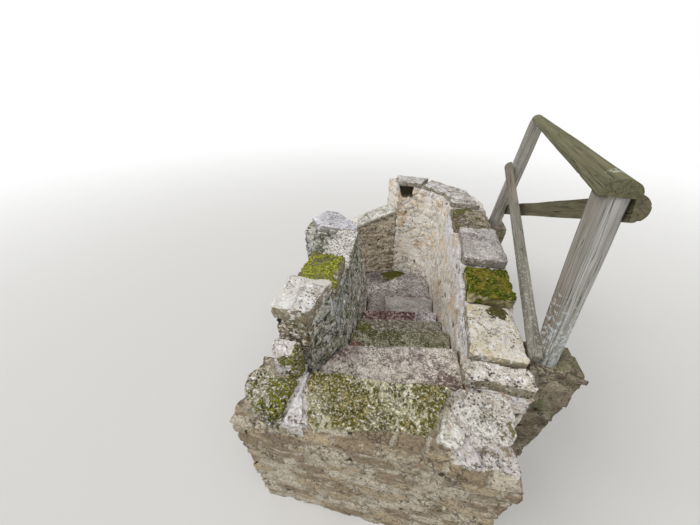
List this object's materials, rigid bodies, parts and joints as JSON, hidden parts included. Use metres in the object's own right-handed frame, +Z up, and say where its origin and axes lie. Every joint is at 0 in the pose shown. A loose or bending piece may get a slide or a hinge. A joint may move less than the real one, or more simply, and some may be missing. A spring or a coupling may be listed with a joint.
{
  "type": "outdoor stone steps",
  "caption": "Worn stone steps going down between two rubble parapet walls, turning left at the foot past a curved corner, with a weathered pole fence on the upper side.",
  "frame": {"origin": "on the flat underside, below the middle of the front edge of the threshold slab", "axes": "+Y runs down the flight as seen from above, +X is to the right of someone walking down, +Z is up"},
  "size_m": [2.2141, 3.7165, 2.5193],
  "materials": {
    "rubble": "rough rubble in lime mortar",
    "tread_stone": "worn, damp, leaf-stained",
    "mossy_stone": "rough under thick moss",
    "lichen_stone": "rough, crusted with pale and black lichen",
    "grey_timber": "weathered, silver-grey, checked",
    "green_timber": "weathered, green with algae"
  },
  "bodies": {
    "root": {"threshold_slab": "mossy_stone", "threshold_edging": "lichen_stone", "threshold_left_stones": "mossy_stone", "threshold_right_stones": "lichen_stone", "threshold_bed": "rubble", "step_1": "tread_stone", "step_2": "mossy_stone", "step_3": "tread_stone", "step_4": "tread_stone", "step_4_end": "tread_stone", "step_5": "tread_stone", "step_5_end": "tread_stone", "winder_step": "tread_stone", "landing_slabs": "tread_stone", "riser_1": "rubble", "riser_2": "rubble", "riser_3": "rubble", "riser_4": "rubble", "riser_5": "rubble", "riser_6": "rubble", "riser_7": "rubble", "stair_bed": "rubble", "left_wall": "rubble", "left_coping_near": "lichen_stone", "left_coping_mossy": "mossy_stone", "left_coping_speckled": "lichen_stone", "return_wall": "rubble", "return_coping": "lichen_stone", "end_wall": "rubble", "end_coping": "lichen_stone", "corner_wall": "rubble", "corner_cap": "lichen_stone", "right_wall": "rubble", "right_coping_1": "lichen_stone", "right_coping_2": "lichen_stone", "right_coping_3": "mossy_stone", "right_coping_4": "lichen_stone", "right_coping_5": "rubble", "near_pier": "rubble", "far_pier": "rubble", "near_post": "grey_timber", "far_post": "grey_timber", "top_rail": "green_timber", "brace_falling": "green_timber", "brace_rising": "grey_timber"}
  },
  "joints": []
}
